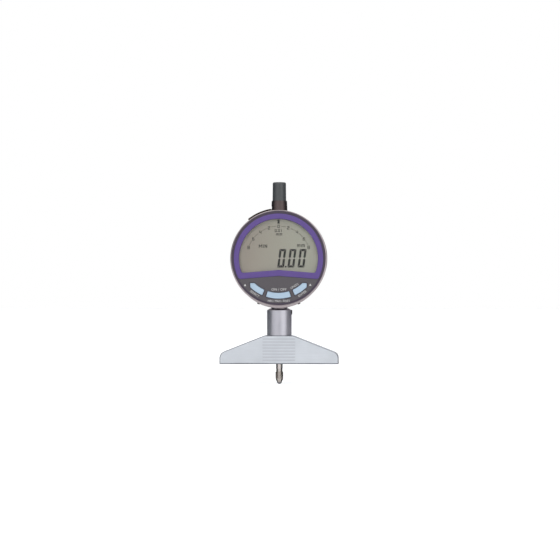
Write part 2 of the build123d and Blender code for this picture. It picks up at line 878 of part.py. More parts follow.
# Display panel: glass, with its lower side cut off below the window
with BuildPart() as lcd_panel:
    with BuildSketch(front_plane(lcd_back)):
        Circle(display_radius)
        with Locations((0, display_bottom - display_radius)):
            Rectangle(2 * display_radius, 2 * display_radius, mode=Mode.SUBTRACT)
    extrude(amount=lcd_thickness)
save(lcd_panel, "lcd_panel")

# Display holder: a moulded tray on the board, held by three staked pegs
with BuildPart() as lcd_holder:
    with BuildSketch(front_plane(board_front)):
        Circle(display_radius)
        with Locations((0, display_bottom - display_radius)):
            Rectangle(2 * display_radius, 2 * display_radius, mode=Mode.SUBTRACT)
        with Locations((0, strip_place)):
            Rectangle(strip_length + key_gap, strip_width + key_gap, mode=Mode.SUBTRACT)
    extrude(amount=holder_thickness)
    with BuildSketch(front_plane(board_back)):
        with Locations(peg_places):
            Circle(peg_radius)
    extrude(amount=board_thickness)
    with BuildSketch(front_plane(board_back + peg_head)):
        with Locations(peg_places):
            Circle(peg_head_radius)
    extrude(amount=peg_head)
save(lcd_holder, "lcd_holder")

# Display connector: the conductive rubber strip between the panel and the board
with BuildPart() as lcd_connector:
    with BuildSketch(front_plane(board_front)):
        with Locations((0, strip_place)):
            Rectangle(strip_length, strip_width)
    extrude(amount=holder_thickness)
save(lcd_connector, "lcd_connector")

# Circuit board, with its chips on the back
with BuildPart() as circuit_board:
    with BuildSketch(front_plane(board_back)):
        Circle(board_radius)
        with Locations(peg_places):
            Circle(peg_radius + seat_gap, mode=Mode.SUBTRACT)
        for side in (-1, 1):
            with Locations((side * board_post_x, board_post_z)):
                Circle(board_screw_radius + seat_gap, mode=Mode.SUBTRACT)
    extrude(amount=board_thickness)
    with BuildSketch(front_plane(board_back)):
        with Locations(chip_places):
            Rectangle(chip_width, chip_width)
    extrude(amount=-chip_height)
save(circuit_board, "circuit_board")

# Board screws: they hold the board on the front cover's two posts
with BuildPart() as board_screws:
    with BuildSketch(front_plane(board_back + board_screw_head)):
        for side in (-1, 1):
            with Locations((side * board_post_x, board_post_z)):
                Circle(board_screw_head_radius)
    extrude(amount=board_screw_head)
    with BuildSketch(front_plane(board_back)):
        for side in (-1, 1):
            with Locations((side * board_post_x, board_post_z)):
                Circle(board_screw_radius)
    extrude(amount=board_back - plate_back - board_post_blind)
save(board_screws, "board_screws")

# Read head: a small board with its header on the main board, just in front of the scale
with BuildPart() as read_head:
    with BuildSketch(front_plane(head_back)):
        with Locations((0, head_place)):
            Rectangle(head_width, head_height)
    extrude(amount=head_thickness)
    with BuildSketch(front_plane(head_front)):
        with Locations((0, head_place)):
            Rectangle(header_width, header_depth)
    extrude(amount=header_height)
save(read_head, "read_head")

# Scale carrier: a split block clamped on the spindle
with BuildPart() as scale_carrier:
    with BuildSketch(Plane.XY.offset(carrier_bottom)):
        with Locations(((carrier_right - carrier_left) / 2, (carrier_back - carrier_front) / 2)):
            Rectangle(carrier_right + carrier_left, carrier_back + carrier_front)
        Circle(spindle_radius + seat_gap, mode=Mode.SUBTRACT)
        with Locations((-carrier_left / 2, 0)):
            Rectangle(carrier_left, carrier_slit, mode=Mode.SUBTRACT)
    extrude(amount=carrier_height)
    with BuildSketch(Plane.XZ.offset(carrier_front)):
        with Locations((carrier_screw_x, carrier_middle)):
            Circle(small_screw_radius + seat_gap)
    extrude(amount=-carrier_front - carrier_back, mode=Mode.SUBTRACT)
    with BuildSketch(Plane.YZ.offset(carrier_right)):
        with Locations((0, carrier_middle)):
            Circle(guide_pin_radius + seat_gap)
    extrude(amount=-guide_pin_inset, mode=Mode.SUBTRACT)
save(scale_carrier, "scale_carrier")

# Carrier screw: it closes the block's slit on the spindle
with BuildPart() as carrier_screw:
    with BuildSketch(Plane.XZ.offset(-carrier_back)):
        with Locations((carrier_screw_x, carrier_middle)):
            Circle(small_head_radius)
    extrude(amount=-small_head)
    with BuildSketch(Plane.XZ.offset(-carrier_back)):
        with Locations((carrier_screw_x, carrier_middle)):
            Circle(small_screw_radius)
    extrude(amount=carrier_back + carrier_front - scale_gap)
save(carrier_screw, "carrier_screw")

# Linear scale: the glass strip that the read head reads
with BuildPart() as linear_scale:
    with BuildSketch(Plane.XZ.offset(carrier_front)):
        with Locations((0, (scale_bottom + scale_top) / 2)):
            Rectangle(scale_width, scale_top - scale_bottom)
    extrude(amount=scale_thickness)
save(linear_scale, "linear_scale")

# Guide pin: it runs in the rail's slot and keeps the spindle from turning
with BuildPart() as guide_pin:
    with BuildSketch(Plane.YZ.offset(carrier_right - guide_pin_inset)):
        with Locations((0, carrier_middle)):
            Circle(guide_pin_radius)
    extrude(amount=guide_pin_inset + guide_pin_end - carrier_right)
save(guide_pin, "guide_pin")

# Guide rail: a slotted steel strip on the case's two pads
slot_bottom = carrier_middle - guide_pin_radius - part_gap
slot_top = carrier_middle + spindle_stroke + guide_pin_radius + part_gap
with BuildPart() as guide_rail:
    with BuildSketch(Plane.YZ.offset(rail_place)):
        with Locations((0, case_centre)):
            Rectangle(2 * rail_half_width, 2 * rail_end)
        with Locations((0, (slot_bottom + slot_top) / 2)):
            Rectangle(2 * (guide_pin_radius + running_gap), slot_top - slot_bottom, mode=Mode.SUBTRACT)
        for end in (-1, 1):
            with Locations((0, case_centre + end * rail_screw_place)):
                Circle(small_screw_radius + seat_gap, mode=Mode.SUBTRACT)
    extrude(amount=rail_thickness)
save(guide_rail, "guide_rail")

# Rail screws: one through each end of the rail into its pad
with BuildPart() as rail_screws:
    with BuildSketch(Plane.YZ.offset(rail_place)):
        for end in (-1, 1):
            with Locations((0, case_centre + end * rail_screw_place)):
                Circle(small_head_radius)
    extrude(amount=-small_head)
    with BuildSketch(Plane.YZ.offset(rail_place)):
        for end in (-1, 1):
            with Locations((0, case_centre + end * rail_screw_place)):
                Circle(small_screw_radius)
    extrude(amount=rail_thickness + pad_width - screw_blind)
save(rail_screws, "rail_screws")

# Return spring: wound round the spindle between the upper bushing and the carrier
spring_bottom = carrier_top + spring_wire
spring_top = bushing_bottom - spring_wire
with BuildPart() as return_spring:
    with BuildLine() as coil:
        Helix(spring_pitch, spring_top - spring_bottom, spring_radius, center=(0, 0, spring_bottom))
    with BuildSketch(Plane(origin=coil.line @ 0, z_dir=coil.line % 0)):
        RegularPolygon(spring_wire, 6)
    sweep(is_frenet=True)
save(return_spring, "return_spring")

# Top collar: it slips over the case's spigot, and its slot lets the lever's neck in
slot_roof = ring_bottom
with BuildPart() as top_collar:
    with BuildSketch(Plane.XZ):
        with BuildLine():
            Polyline(
                (top_spigot_radius + seat_gap, shoulder),
                (collar_base_radius, shoulder),
                (collar_top_radius, collar_top),
                (cap_radius + seat_gap, collar_top),
                (cap_radius + seat_gap, collar_top - cap_socket),
                (collar_lip_radius, collar_top - cap_socket),
                (collar_lip_radius, collar_top - cap_socket - collar_lip),
                (top_spigot_radius + seat_gap, collar_top - cap_socket - collar_lip),
                close=True,
            )
        make_face()
    revolve(axis=Axis.Z)
    with BuildSketch(Plane.XY.offset(shoulder)):
        with Locations((-collar_base_radius, 0)):
            Rectangle(2 * collar_base_radius, 2 * (neck_half_width + part_gap))
    extrude(amount=slot_roof - shoulder, mode=Mode.SUBTRACT)
save(top_collar, "top_collar")

# Dust cap: a closed tube over the spindle's top end
with BuildPart() as dust_cap:
    with BuildSketch(Plane.XY.offset(collar_top - cap_socket)):
        Circle(cap_radius)
    extrude(amount=cap_top - collar_top + cap_socket, taper=cap_draft)
    fillet(dust_cap.faces().sort_by(Axis.Z)[-1].edges(), cap_edge)
    with BuildSketch(Plane.XY.offset(collar_top - cap_socket)):
        Circle(cap_radius - cap_wall)
    extrude(amount=cap_top - cap_roof - collar_top + cap_socket, mode=Mode.SUBTRACT)
save(dust_cap, "dust_cap")

# Lifting lever: a curved strip over the case, with two lugs on the pin and a fork under the lifting ring
strip_outer = lever_radius + lever_thickness / 2
strip_inner = lever_radius - lever_thickness / 2
neck_start = -collar_base_radius - lever_collar_gap
with BuildPart() as lifting_lever:
    with BuildSketch(front_plane(0)):
        Circle(strip_outer)
        Circle(strip_inner, mode=Mode.SUBTRACT)
        with BuildLine():
            Polyline(
                (0, 0),
                (2 * neck_start, 2 * sqrt(lever_radius**2 - neck_start**2)),
                (2 * strip_outer * cos(radians(lever_end)), 2 * strip_outer * sin(radians(lever_end))),
                close=True,
            )
        make_face(mode=Mode.INTERSECT)
    extrude(amount=lever_half_width, both=True)
    tip_corners = lifting_lever.faces().sort_by(Axis.X)[0].edges().filter_by(Axis.Y, reverse=True)
    fillet(tip_corners, lever_tip)
    with BuildSketch(Plane.XY.offset(fork_middle - fork_thickness / 2)):
        Circle(fork_radius)
        with Locations((fork_radius - fork_end, 0)):
            Rectangle(2 * fork_radius, 2 * fork_radius, mode=Mode.SUBTRACT)
        with Locations(((neck_start - spindle_radius) / 2, 0)):
            Rectangle(-neck_start - spindle_radius, 2 * neck_half_width)
        Circle(spindle_radius + fork_gap, mode=Mode.SUBTRACT)
    extrude(amount=fork_thickness)
    for side in (-1, 1):
        with BuildSketch(front_plane(side * lever_half_width)):
            with PolarLocations(pivot_radius, 1, start_angle=pivot_angle):
                Circle(lug_radius)
            with PolarLocations((pivot_radius + lever_radius) / 2, 1, start_angle=pivot_angle):
                Rectangle(lever_radius - pivot_radius, 2 * lug_radius)
        extrude(amount=side * lug_thickness)
    with BuildSketch(front_plane(0)):
        with PolarLocations(pivot_radius, 1, start_angle=pivot_angle):
            Circle(pivot_pin_radius + running_gap)
    extrude(amount=2 * lever_half_width, both=True, mode=Mode.SUBTRACT)
save(lifting_lever, "lifting_lever")

# Lever pin: it goes through the ear and both lugs into the flange
with BuildPart() as lever_pin:
    with BuildSketch(front_plane(ear_front + ear_thickness)):
        with PolarLocations(pivot_radius, 1, start_angle=pivot_angle):
            Circle(pivot_pin_radius)
    extrude(amount=ear_front + ear_thickness - flange_back + pivot_pin_depth - part_gap)
save(lever_pin, "lever_pin")

fork_rise = (-fork_end - pivot_x) * sin(radians(lever_swing)) - (fork_top - pivot_z) * (
    1 - cos(radians(lever_swing))
)
print("case centre", round(case_centre, 3), "overall top", round(cap_top, 3))
print("spindle top", round(spindle_top, 3), "ring bottom", round(ring_bottom, 3))
print("fork top", round(fork_top, 3), "rises", round(fork_rise, 3), "to", round(fork_top + fork_rise, 3))
print("pivot", round(pivot_x, 3), round(pivot_z, 3), "spring top", round(spring_top, 3))
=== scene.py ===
# %% [markdown]
# A digital depth gauge, dressed on its CAD frame.
#
# The frame is the imported CAD model: every solid sits where the maker put it, in metres, with +Z up along
# the spindle and the display facing -Y. This lesson leaves those shapes alone. It sets up a camera and a
# small studio, gives each solid the finish of the real material, and adds what is too fine for solids:
# the display's segments, the printed words and the screw drives. The contact point's grip gets a band of painted
# shade.

# %% Load the frame
from math import cos, pi, radians, sin, tan

import bmesh
import bpy
from mathutils import Matrix, Vector


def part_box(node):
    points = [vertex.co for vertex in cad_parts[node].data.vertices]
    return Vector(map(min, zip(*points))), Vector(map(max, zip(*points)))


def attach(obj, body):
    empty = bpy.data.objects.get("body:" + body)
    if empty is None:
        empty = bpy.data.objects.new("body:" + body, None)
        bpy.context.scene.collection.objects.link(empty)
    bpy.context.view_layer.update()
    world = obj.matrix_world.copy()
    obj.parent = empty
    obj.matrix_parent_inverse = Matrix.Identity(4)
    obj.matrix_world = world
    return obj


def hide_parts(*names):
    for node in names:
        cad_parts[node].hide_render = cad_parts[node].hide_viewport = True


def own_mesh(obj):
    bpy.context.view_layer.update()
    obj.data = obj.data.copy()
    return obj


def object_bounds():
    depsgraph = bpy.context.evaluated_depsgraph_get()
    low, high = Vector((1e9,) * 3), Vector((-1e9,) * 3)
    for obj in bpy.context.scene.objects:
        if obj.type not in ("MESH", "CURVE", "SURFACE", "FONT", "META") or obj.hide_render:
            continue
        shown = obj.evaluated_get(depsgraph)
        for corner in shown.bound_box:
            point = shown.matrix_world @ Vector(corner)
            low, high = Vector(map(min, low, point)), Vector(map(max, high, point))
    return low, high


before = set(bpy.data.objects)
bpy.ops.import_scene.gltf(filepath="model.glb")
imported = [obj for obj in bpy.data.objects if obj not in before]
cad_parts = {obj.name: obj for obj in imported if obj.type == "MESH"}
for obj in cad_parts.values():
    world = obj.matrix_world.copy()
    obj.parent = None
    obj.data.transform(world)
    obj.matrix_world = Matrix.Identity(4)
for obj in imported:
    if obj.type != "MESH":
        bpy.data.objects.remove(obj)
cad_bounds = [list(corner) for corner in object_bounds()]
scene = bpy.context.scene
mm = 0.001

# %% [markdown]
# Real sizes drive everything here. The window gives the face's centre and radius, and the front of each
# carrying solid gives the depth at which the print on it lies, so nothing is placed by eye.

# %% Read the places that the print and the camera need
window_low, window_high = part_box("display_window")
face_radius = (window_high.x - window_low.x) / 2
face_centre = window_high.z - face_radius
panel_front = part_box("lcd_panel")[0].y
film_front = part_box("fascia_sheet")[0].y
lowest = cad_bounds[0][2]
print("face centre", round(face_centre / mm, 2), "mm, radius", round(face_radius / mm, 2), "mm")

# %% [markdown]
# A picture taken square-on from far away has hardly any perspective. A long lens at 1.5 m copies that,
# and its focal length follows from the width of the picture in millimetres. The camera stands a little
# to the right of the face, which is why the parts nearest to it sit slightly left of the spindle.

# %% Camera
picture_width = 354.7 * mm
camera_distance = 1.5
camera_turn = radians(2.4)
aim = Vector((0.4 * mm, 0, 53.0 * mm))
camera_data = bpy.data.cameras.new("camera")
camera_data.sensor_width = 36
camera_data.lens = 36 * camera_distance / picture_width
camera_data.clip_start = 0.05
camera = bpy.data.objects.new("camera", camera_data)
scene.collection.objects.link(camera)
away = Vector((sin(camera_turn), -cos(camera_turn), 0))
camera.location = aim + away * camera_distance
camera.rotation_euler = (pi / 2, 0, camera_turn)
scene.camera = camera
print("lens", round(camera_data.lens, 1), "mm")

# %% [markdown]
# Blender mixes colours in linear light, while a colour read off a screen is sRGB. One function turns the
# second into the first. Another adds a shader node with its settings and links, so that each finish below
# reads as a short list of what feeds what.

# %% Colour and node helpers
def linear(code):
    """Turns an sRGB hex colour into linear red, green, blue and alpha."""
    parts = [int(code[i:i + 2], 16) / 255 for i in (0, 2, 4)]
    return [p / 12.92 if p <= 0.04045 else ((p + 0.055) / 1.055) ** 2.4 for p in parts] + [1]


def add(tree, kind, inputs=None, **settings):
    """Adds a node. Inputs are values or the outputs that feed them, and settings are its own options."""
    node = tree.nodes.new("ShaderNode" + kind)
    for name, value in settings.items():
        setattr(node, name, value)
    for name, value in (inputs or {}).items():
        if isinstance(value, bpy.types.NodeSocket):
            tree.links.new(value, node.inputs[name])
        else:
            node.inputs[name].default_value = value
    return node


def start_finish(name, **values):
    """A new material with its shader. Values are the same all over, so they sit on the shader itself."""
    material = bpy.data.materials.new(name)
    material.use_nodes = True
    tree = material.node_tree
    tree.nodes.clear()
    shader = add(tree, "BsdfPrincipled", {key.replace("_", " "): value for key, value in values.items()})
    add(tree, "OutputMaterial", {"Surface": shader.outputs[0]})
    return material, tree, shader


finished = []


def dress(material, *names):
    """Gives solids of the frame their finish."""
    finished.extend(names)
    for name in names:
        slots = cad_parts[name].data.materials
        slots.clear()
        slots.append(material)


def per(size):
    """The texture scale at which one cell of a pattern is this many millimetres."""
    return 1 / (size * mm)


def place(tree, stretch=(1, 1, 1)):
    """Coordinates in metres in the solid's own space, stretched to make grain or turning marks."""
    spot = add(tree, "TexCoord")
    return add(tree, "Mapping", {"Vector": spot.outputs["Object"], "Scale": stretch}).outputs[0]


print("white in linear light:", linear("ffffff"))

# %% [markdown]
# The studio is a white sweep: a pale floor, a white world and three soft lamps at a plain level. The white
# of the background is a second colour that only the camera, reflections and windows see, so the light on
# the gauge stays plain. The world and the floor both need to sort those rays out, so one function does it.

# %% Rays that see the background
def seen_rays(tree):
    """One for rays from the camera, a reflection or a window, and nought for the rays that carry light."""
    rays = add(tree, "LightPath")
    seen = rays.outputs["Is Camera Ray"]
    for kind in ("Is Glossy Ray", "Is Transmission Ray"):
        seen = add(tree, "Math", {0: seen, 1: rays.outputs[kind]}, operation="MAXIMUM").outputs[0]
    return seen


print("helper for the background ready")

# %% World
world = bpy.data.worlds.new("white sweep")
scene.world = world
world.use_nodes = True
tree = world.node_tree
tree.nodes.clear()
room = add(tree, "Background", {"Color": linear("f4f6f8"), "Strength": 0.5})
white = add(tree, "Background", {"Color": (1, 1, 1, 1), "Strength": 1.0})
both = add(tree, "MixShader", {0: seen_rays(tree), 1: room.outputs[0], 2: white.outputs[0]})
add(tree, "OutputWorld", {"Surface": both.outputs[0]})
scene.view_settings.view_transform = "Standard"
print("world ready, view transform", scene.view_settings.view_transform)

# %% [markdown]
# The gauge is drawn with its contact point fully out, so the floor lies just under that point. It is matt
# paper with faint fibres, and a glow that only seen rays meet takes it up to white while it keeps the
# gauge's shadow.

# %% Floor
floor_half = 4.0
floor_top = lowest - 0.1 * mm
floor_corners = [(x * floor_half, y * floor_half, floor_top) for x, y in ((-1, -1), (1, -1), (1, 1), (-1, 1))]
floor_mesh = bpy.data.meshes.new("floor")
floor_mesh.from_pydata(floor_corners, [], [(0, 1, 2, 3)])
floor = bpy.data.objects.new("floor", floor_mesh)
scene.collection.objects.link(floor)
paper = bpy.data.materials.new("matt white paper")
paper.use_nodes = True
tree = paper.node_tree
tree.nodes.clear()
fibre = add(tree, "TexNoise", {"Vector": place(tree), "Scale": per(0.4), "Detail": 3})
tone = add(tree, "MixRGB", {0: fibre.outputs[0], 1: linear("e2e3e4"), 2: linear("e8e9ea")})
matt = add(tree, "BsdfDiffuse", {"Color": tone.outputs[0], "Roughness": 1})
lift = add(tree, "Emission", {"Color": (1, 1, 1, 1), "Strength": 0.62})
dark = add(tree, "Emission", {"Color": (0, 0, 0, 1), "Strength": 0})
glow = add(tree, "MixShader", {0: seen_rays(tree), 1: dark.outputs[0], 2: lift.outputs[0]})
total = add(tree, "AddShader", {0: matt.outputs[0], 1: glow.outputs[0]})
add(tree, "OutputMaterial", {"Surface": total.outputs[0]})
floor_mesh.materials.append(paper)
print("floor at", round(floor_top / mm, 2), "mm")

# %% [markdown]
# Three square lamps, each over a metre wide, light it as windows would: a key from the upper left, a
# weaker fill from the right and one from behind for the rim. Small lamps would make hard spots on metal.

# %% Lamps
lamps = (
    # name, place in metres, side of the square in metres, watts
    ("key lamp", (-0.5, -1.7, 1.2), 1.8, 13),
    ("fill lamp", (1.2, -1.4, 0.6), 1.4, 6),
    ("back lamp", (0.2, 1.6, 1.2), 1.6, 6),
)
for name, spot, size, watts in lamps:
    data = bpy.data.lights.new(name, "AREA")
    data.size = size
    data.energy = watts
    lamp = bpy.data.objects.new(name, data)
    scene.collection.objects.link(lamp)
    lamp.location = spot
    lamp.rotation_euler = (Vector((0, 0, face_centre)) - lamp.location).to_track_quat("-Z", "Y").to_euler()
print(len(lamps), "soft lamps")

# %% [markdown]
# Bright metal shows whatever stands round it, and in a room that is white all over it would look like
# chalk. A photographer stands dark cards beside it to draw its edges dark. Here two large ones stand
# beside the gauge, two low ones beside the contact point, and two lie under the base for the slope of its
# tip. A pale one behind the camera keeps flat faces and the window from flashing white. Only reflections
# see them.

# %% Cards beside the gauge and behind the camera
cards = (
    # name, side, tint, first and last degree from the front, near and far edge, low and high edge
    ("left card", -1, "1f3b48", 70, 160, 0.45, 0.45, lowest, 0.3),
    ("right card", 1, "7c7a83", 72, 160, 0.45, 0.45, lowest, 0.3),
    ("low left card", -1, "2c3033", 42, 165, 0.09, 0.09, lowest, -2 * mm),
    ("low right card", 1, "2c3033", 42, 165, 0.09, 0.09, lowest, -2 * mm),
    ("lying left card", -1, "2c3033", 62, 165, 0.0025, 0.03, lowest, lowest),
    ("lying right card", 1, "2c3033", 62, 165, 0.0025, 0.03, lowest, lowest),
    ("front card", 1, "f4f4f4", -9, 7, 2.6, 2.6, -0.3, 0.42),
)
card_steps = 6
for name, side, tint, first, last, near, far, low, high in cards:
    grey_card = bpy.data.materials.new(name)
    grey_card.use_nodes = True
    tree = grey_card.node_tree
    tree.nodes.clear()
    matt = add(tree, "BsdfDiffuse", {"Color": linear(tint)})
    add(tree, "OutputMaterial", {"Surface": matt.outputs[0]})
    mesh = bpy.data.meshes.new(name)
    corners = []
    for step in range(card_steps + 1):
        turn = radians(first + (last - first) * step / card_steps)
        out = Vector((side * sin(turn), -cos(turn), 0))
        corners += [out * near + Vector((0, 0, low)), out * far + Vector((0, 0, high))]
    mesh.from_pydata(corners, [], [(2 * i, 2 * i + 1, 2 * i + 3, 2 * i + 2) for i in range(card_steps)])
    card = bpy.data.objects.new(name, mesh)
    scene.collection.objects.link(card)
    card.visible_camera = False
    card.visible_diffuse = False
    card.visible_transmission = False
    card.visible_shadow = False
    mesh.materials.append(grey_card)
print(len(cards), "cards")

# %% [markdown]
# Machined metal. Grinding leaves long fine scratches one way, and turning leaves rings round the axis.
# Both come from noise that is stretched along the cut: the scratches are about 0.1 mm apart, drawn up to
# three times coarser so that they still show. A slower noise clouds the roughness, as handling does.

# %% Ground and turned metals
def machined(name, pale, deep, roughness, grain, stretch, depth=0.004, cloud=9.0):
    """A bare or plated metal with marks left by the cut, whose spacing is grain, in millimetres."""
    material, tree, shader = start_finish(name, Metallic=1.0)
    marks = add(tree, "TexNoise", {"Vector": place(tree, stretch), "Scale": per(grain),
                                   "Detail": 4, "Roughness": 0.6})
    smear = add(tree, "TexNoise", {"Vector": place(tree), "Scale": per(cloud), "Detail": 3})
    both = add(tree, "Math", {0: marks.outputs[0], 1: smear.outputs[0]}, operation="MULTIPLY")
    span = add(tree, "MapRange", {"Value": both.outputs[0], "From Min": 0.12, "From Max": 0.4})
    tone = add(tree, "MixRGB", {0: span.outputs[0], 1: linear(deep), 2: linear(pale)})
    tree.links.new(tone.outputs[0], shader.inputs["Base Color"])
    rough = add(tree, "MapRange", {"Value": smear.outputs[0], "From Min": 0.3, "From Max": 0.7,
                                   "To Min": roughness - 0.05, "To Max": roughness + 0.07})
    tree.links.new(rough.outputs[0], shader.inputs["Roughness"])
    bump = add(tree, "Bump", {"Height": marks.outputs[0], "Strength": 0.6, "Distance": depth * mm})
    tree.links.new(bump.outputs[0], shader.inputs["Normal"])
    return material


print("helper for cut metal ready")

# %% [markdown]
# Broken edges, the lower edge of the base and the floors of the finger grooves are painted darker than the
# ground faces: painted shade, for edges that lean towards the dark side of a room and for the shade in the
# grooves. They are too narrow for a solid of their own, so a band of another tone, set by its place in
# millimetres, paints that shade.

# %% A band of painted shade
def paint_shade_between(material, axis, first, last, code):
    """Paints shade as another tone where one axis, whichever its sign, lies between two places. They are in
    millimetres.
    """
    tree = material.node_tree
    shader = next(n for n in tree.nodes if n.type == "BSDF_PRINCIPLED")
    under = shader.inputs["Base Color"].links[0].from_socket
    axes = add(tree, "SeparateXYZ", {0: place(tree)})
    depth = add(tree, "Math", {0: axes.outputs[axis]}, operation="ABSOLUTE")
    zone = add(tree, "Math", {0: depth.outputs[0], 1: (first + last) / 2 * mm, 2: (last - first) / 2 * mm},
               operation="COMPARE")
    tone = add(tree, "MixRGB", {0: zone.outputs[0], 1: under, 2: linear(code)})
    tree.links.new(tone.outputs[0], shader.inputs["Base Color"])


print("helper for bands ready")

# %% [markdown]
# First the metals that show. The base is ground tool steel under satin nickel, even and pale. Sleeve,
# spindle and contact point are turned or ground round, so their marks are rings. The back is thin sheet.

# %% Metals that show
rings = (0.04, 0.04, 1)
length_wise = (0.03, 1, 1)
# An even, pale and faintly blue face with long scratches that only show in a highlight.
base_finish = machined("ground tool steel, satin nickel plated", "c8ccd2", "c1c5cb", 0.4, 0.3, length_wise)
# A soft band of light down the middle that fades to dark at both sides.
sleeve_finish = machined("turned steel, polished", "b6b5bc", "adacb4", 0.33, 0.3, rings)
# Nearly a mirror, with rings too fine to count.
spindle_finish = machined("hardened steel, centreless ground", "d6cfcc", "c0b8b4", 0.14, 0.12, rings, 0.002)
# The same gloss in a warmer grey.
contact_finish = machined("turned stainless steel", "cfc8c3", "b0a7a1", 0.16, 0.16, rings, 0.002)
# Thin paint on rolled sheet: flat and calm, with a slow cloudiness.
back_finish = machined("pressed aluminium, satin painted", "bfc0c3", "b8b9bc", 0.42, 0.25, (1, 0.04, 1),
                       0.003, 30.0)
# Zinc is a little yellow, and black oxide swallows most of the light.
screw_finish = machined("zinc plated steel screw", "c9c8c2", "a7a59d", 0.3, 0.2, (1, 0.1, 1))
dark_screw_finish = machined("black oxide steel", "4a4847", "2b2a2b", 0.38, 0.2, (0.1, 1, 0.1))
base_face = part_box("depth_base")[1].y / mm
edge_break, lower_edge, groove_depth, skin = 0.42, 0.6, 0.3, 0.02
# Painted shade on the base: a darker band on the broken front edges and in the grooves, a slightly darker groove
# floor and a darker lower edge.
paint_shade_between(base_finish, "Y", base_face - edge_break, base_face - skin, "6d7078")
paint_shade_between(base_finish, "Y", base_face - groove_depth - skin, base_face - groove_depth + skin, "b4b6bd")
paint_shade_between(base_finish, "Z", 0.0, lower_edge, "74777e")
# Painted shade: the knurled grip of the contact point is painted darker than the rest of it.
grip_top, grip_bottom = -5.0, -9.4
paint_shade_between(contact_finish, "Z", -grip_top, -grip_bottom, "a49c96")
print("face of the base at", round(base_face, 2), "mm, grip from", grip_top, "to", grip_bottom, "mm")

# %% [markdown]
# The metals inside the case keep their own colours for whoever takes the back off: brass and bronze are
# warm, spring steel is grey, and nickel on the battery is the brightest. The ball at the tip is carbide.

# %% Metals inside, and the ball at the tip
# Drawn wire is grey and a little dull.
spring_finish = machined("spring steel, drawn", "9b9890", "6f6c66", 0.3, 0.2, (1, 1, 1))
# Pressed from powder, so it is grainy and has no scratches, and the oil darkens it.
bronze_finish = machined("sintered bronze, oil filled", "b98a55", "8c6238", 0.45, 0.15, (1, 1, 1))
# Scratches run along the strip.
rail_finish = machined("ground spring steel strip", "c3c5c8", "a4a7ab", 0.28, 0.2, (1, 1, 0.04))
# Yellow, with the cutter's marks across it.
carrier_finish = machined("milled brass", "c9a866", "a07f42", 0.33, 0.25, (1, 1, 0.08))
# Bright and smooth, since the can is drawn and then plated.
battery_finish = machined("nickel plated steel can", "cfd0cf", "b3b4b2", 0.25, 0.3, (1, 1, 1))
# Darker than steel and sharper in its reflections.
carbide_finish = machined("polished tungsten carbide", "9a9a9c", "78787b", 0.1, 0.1, (1, 1, 1), 0.0005)
print("thirteen metals ready")

# %% [markdown]
# Solids of one metal share one finish. Their shapes stay, and only their material slots change.

# %% Dress the metal solids
dress(base_finish, "depth_base")
dress(sleeve_finish, "base_sleeve")
dress(spindle_finish, "stem", "spindle", "lifting_ring", "guide_pin")
dress(contact_finish, "contact_point")
dress(carbide_finish, "contact_ball")
dress(screw_finish, "board_screws", "rail_screws", "carrier_screw", "back_cover_screws", "lever_pin")
dress(dark_screw_finish, "clamp_screw", "rim_screws")
dress(spring_finish, "return_spring", "battery_contact")
dress(bronze_finish, "lower_bushing", "upper_bushing")
dress(rail_finish, "guide_rail")
dress(carrier_finish, "scale_carrier")
dress(battery_finish, "battery")
dress(back_finish, "back_cover", "battery_lid")
print("finished so far:", len(finished), "solids, all of them metal")

# %% [markdown]
# The case is a die casting under fine satin paint with metal flakes in it, so it has the soft pebble of
# the casting under an even metal gloss. Lever and collar are blackened metal, darker and less sharp.

# %% Cast and blackened metals
def cast_metal(name, pale, deep, roughness, pebble, depth):
    """A cast or coated metal: a fine pebble in the skin, with a slow change of tone."""
    material, tree, shader = start_finish(name, Metallic=1.0, Roughness=roughness)
    grains = add(tree, "TexNoise", {"Vector": place(tree), "Scale": per(pebble), "Detail": 2})
    slow = add(tree, "TexNoise", {"Vector": place(tree), "Scale": per(7.0), "Detail": 3})
    tone = add(tree, "MixRGB", {0: slow.outputs[0], 1: linear(deep), 2: linear(pale)})
    tree.links.new(tone.outputs[0], shader.inputs["Base Color"])
    bump = add(tree, "Bump", {"Height": grains.outputs[0], "Strength": 0.5, "Distance": depth * mm})
    tree.links.new(bump.outputs[0], shader.inputs["Normal"])
    return material


# Warm grey with a wide, soft highlight.
case_finish = cast_metal("die cast aluminium, fine satin paint", "b5abad", "a1979a", 0.34, 0.5, 0.01)
# Brown-black, because the oxide on spring steel is thin.
lever_finish = cast_metal("blackened spring steel", "3b312d", "2a2321", 0.45, 0.3, 0.006)
# A black dye in a clear oxide: brownish where light falls on it.
collar_finish = cast_metal("black anodised aluminium", "5d5352", "4a4141", 0.42, 0.25, 0.006)
dress(case_finish, "case_body")
dress(lever_finish, "lifting_lever")
dress(collar_finish, "top_collar")
print("finished so far:", len(finished), "solids")

# %% [markdown]
# Moulded plastic takes the texture of its mould: a spark-eroded steel leaves shallow pits a few tenths of
# a millimetre across. Their tiny slopes break the highlight up, which is what tells the eye plastic from
# paint.

